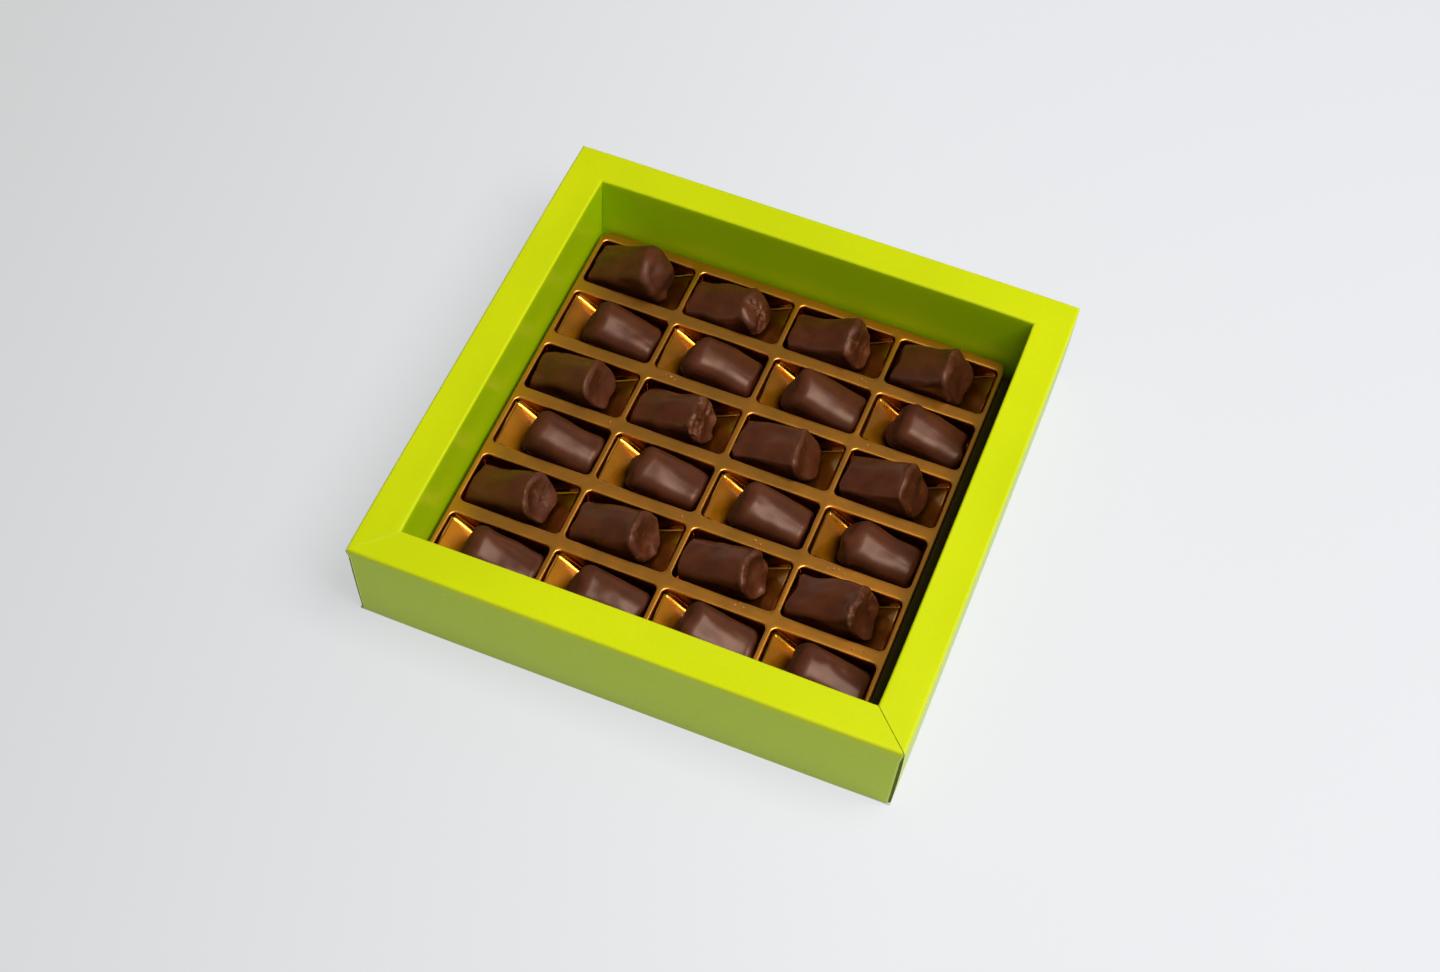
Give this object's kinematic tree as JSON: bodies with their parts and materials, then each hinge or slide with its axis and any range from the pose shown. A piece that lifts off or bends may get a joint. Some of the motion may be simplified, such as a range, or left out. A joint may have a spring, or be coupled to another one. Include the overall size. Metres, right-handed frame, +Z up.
{
  "type": "chocolate box",
  "caption": "Square folded-card sweet box with hollow mitred walls, a gold ramped-pocket tray and a chocolate log in each pocket.",
  "frame": {"origin": "centre of the base's underside", "axes": "+X to the right along the front wall, +Y from the front wall to the back wall, +Z up through the open top"},
  "size_m": [0.2, 0.2, 0.04],
  "materials": {
    "green_card": "lime green printed paper with a satin varnish",
    "gold_sheet": "thin vacuum-formed gold plastic, glossy",
    "dark_chocolate": "dark couverture, soft satin"
  },
  "bodies": {
    "carton": {"base_panel": "green_card", "front_wall": "green_card", "back_wall": "green_card", "left_wall": "green_card", "right_wall": "green_card"},
    "tray": {"gold_tray": "gold_sheet"},
    "chocolate_r1c1_body": {"chocolate_r1c1": "dark_chocolate"},
    "chocolate_r1c2_body": {"chocolate_r1c2": "dark_chocolate"},
    "chocolate_r1c3_body": {"chocolate_r1c3": "dark_chocolate"},
    "chocolate_r1c4_body": {"chocolate_r1c4": "dark_chocolate"},
    "chocolate_r2c1_body": {"chocolate_r2c1": "dark_chocolate"},
    "chocolate_r2c2_body": {"chocolate_r2c2": "dark_chocolate"},
    "chocolate_r2c3_body": {"chocolate_r2c3": "dark_chocolate"},
    "chocolate_r2c4_body": {"chocolate_r2c4": "dark_chocolate"},
    "chocolate_r3c1_body": {"chocolate_r3c1": "dark_chocolate"},
    "chocolate_r3c2_body": {"chocolate_r3c2": "dark_chocolate"},
    "chocolate_r3c3_body": {"chocolate_r3c3": "dark_chocolate"},
    "chocolate_r3c4_body": {"chocolate_r3c4": "dark_chocolate"},
    "chocolate_r4c1_body": {"chocolate_r4c1": "dark_chocolate"},
    "chocolate_r4c2_body": {"chocolate_r4c2": "dark_chocolate"},
    "chocolate_r4c3_body": {"chocolate_r4c3": "dark_chocolate"},
    "chocolate_r4c4_body": {"chocolate_r4c4": "dark_chocolate"},
    "chocolate_r5c1_body": {"chocolate_r5c1": "dark_chocolate"},
    "chocolate_r5c2_body": {"chocolate_r5c2": "dark_chocolate"},
    "chocolate_r5c3_body": {"chocolate_r5c3": "dark_chocolate"},
    "chocolate_r5c4_body": {"chocolate_r5c4": "dark_chocolate"},
    "chocolate_r6c1_body": {"chocolate_r6c1": "dark_chocolate"},
    "chocolate_r6c2_body": {"chocolate_r6c2": "dark_chocolate"},
    "chocolate_r6c3_body": {"chocolate_r6c3": "dark_chocolate"},
    "chocolate_r6c4_body": {"chocolate_r6c4": "dark_chocolate"}
  },
  "joints": [
    {"name": "tray_lift", "type": "slide", "parent": "carton", "child": "tray", "axis": [0, 0, 1], "range_m": [0, 0.05]},
    {"name": "lift_r1c1", "type": "slide", "parent": "tray", "child": "chocolate_r1c1_body", "axis": [0, 0, 1], "range_m": [0, 0.05]},
    {"name": "lift_r1c2", "type": "slide", "parent": "tray", "child": "chocolate_r1c2_body", "axis": [0, 0, 1], "range_m": [0, 0.05]},
    {"name": "lift_r1c3", "type": "slide", "parent": "tray", "child": "chocolate_r1c3_body", "axis": [0, 0, 1], "range_m": [0, 0.05]},
    {"name": "lift_r1c4", "type": "slide", "parent": "tray", "child": "chocolate_r1c4_body", "axis": [0, 0, 1], "range_m": [0, 0.05]},
    {"name": "lift_r2c1", "type": "slide", "parent": "tray", "child": "chocolate_r2c1_body", "axis": [0, 0, 1], "range_m": [0, 0.05]},
    {"name": "lift_r2c2", "type": "slide", "parent": "tray", "child": "chocolate_r2c2_body", "axis": [0, 0, 1], "range_m": [0, 0.05]},
    {"name": "lift_r2c3", "type": "slide", "parent": "tray", "child": "chocolate_r2c3_body", "axis": [0, 0, 1], "range_m": [0, 0.05]},
    {"name": "lift_r2c4", "type": "slide", "parent": "tray", "child": "chocolate_r2c4_body", "axis": [0, 0, 1], "range_m": [0, 0.05]},
    {"name": "lift_r3c1", "type": "slide", "parent": "tray", "child": "chocolate_r3c1_body", "axis": [0, 0, 1], "range_m": [0, 0.05]},
    {"name": "lift_r3c2", "type": "slide", "parent": "tray", "child": "chocolate_r3c2_body", "axis": [0, 0, 1], "range_m": [0, 0.05]},
    {"name": "lift_r3c3", "type": "slide", "parent": "tray", "child": "chocolate_r3c3_body", "axis": [0, 0, 1], "range_m": [0, 0.05]},
    {"name": "lift_r3c4", "type": "slide", "parent": "tray", "child": "chocolate_r3c4_body", "axis": [0, 0, 1], "range_m": [0, 0.05]},
    {"name": "lift_r4c1", "type": "slide", "parent": "tray", "child": "chocolate_r4c1_body", "axis": [0, 0, 1], "range_m": [0, 0.05]},
    {"name": "lift_r4c2", "type": "slide", "parent": "tray", "child": "chocolate_r4c2_body", "axis": [0, 0, 1], "range_m": [0, 0.05]},
    {"name": "lift_r4c3", "type": "slide", "parent": "tray", "child": "chocolate_r4c3_body", "axis": [0, 0, 1], "range_m": [0, 0.05]},
    {"name": "lift_r4c4", "type": "slide", "parent": "tray", "child": "chocolate_r4c4_body", "axis": [0, 0, 1], "range_m": [0, 0.05]},
    {"name": "lift_r5c1", "type": "slide", "parent": "tray", "child": "chocolate_r5c1_body", "axis": [0, 0, 1], "range_m": [0, 0.05]},
    {"name": "lift_r5c2", "type": "slide", "parent": "tray", "child": "chocolate_r5c2_body", "axis": [0, 0, 1], "range_m": [0, 0.05]},
    {"name": "lift_r5c3", "type": "slide", "parent": "tray", "child": "chocolate_r5c3_body", "axis": [0, 0, 1], "range_m": [0, 0.05]},
    {"name": "lift_r5c4", "type": "slide", "parent": "tray", "child": "chocolate_r5c4_body", "axis": [0, 0, 1], "range_m": [0, 0.05]},
    {"name": "lift_r6c1", "type": "slide", "parent": "tray", "child": "chocolate_r6c1_body", "axis": [0, 0, 1], "range_m": [0, 0.05]},
    {"name": "lift_r6c2", "type": "slide", "parent": "tray", "child": "chocolate_r6c2_body", "axis": [0, 0, 1], "range_m": [0, 0.05]},
    {"name": "lift_r6c3", "type": "slide", "parent": "tray", "child": "chocolate_r6c3_body", "axis": [0, 0, 1], "range_m": [0, 0.05]},
    {"name": "lift_r6c4", "type": "slide", "parent": "tray", "child": "chocolate_r6c4_body", "axis": [0, 0, 1], "range_m": [0, 0.05]}
  ]
}
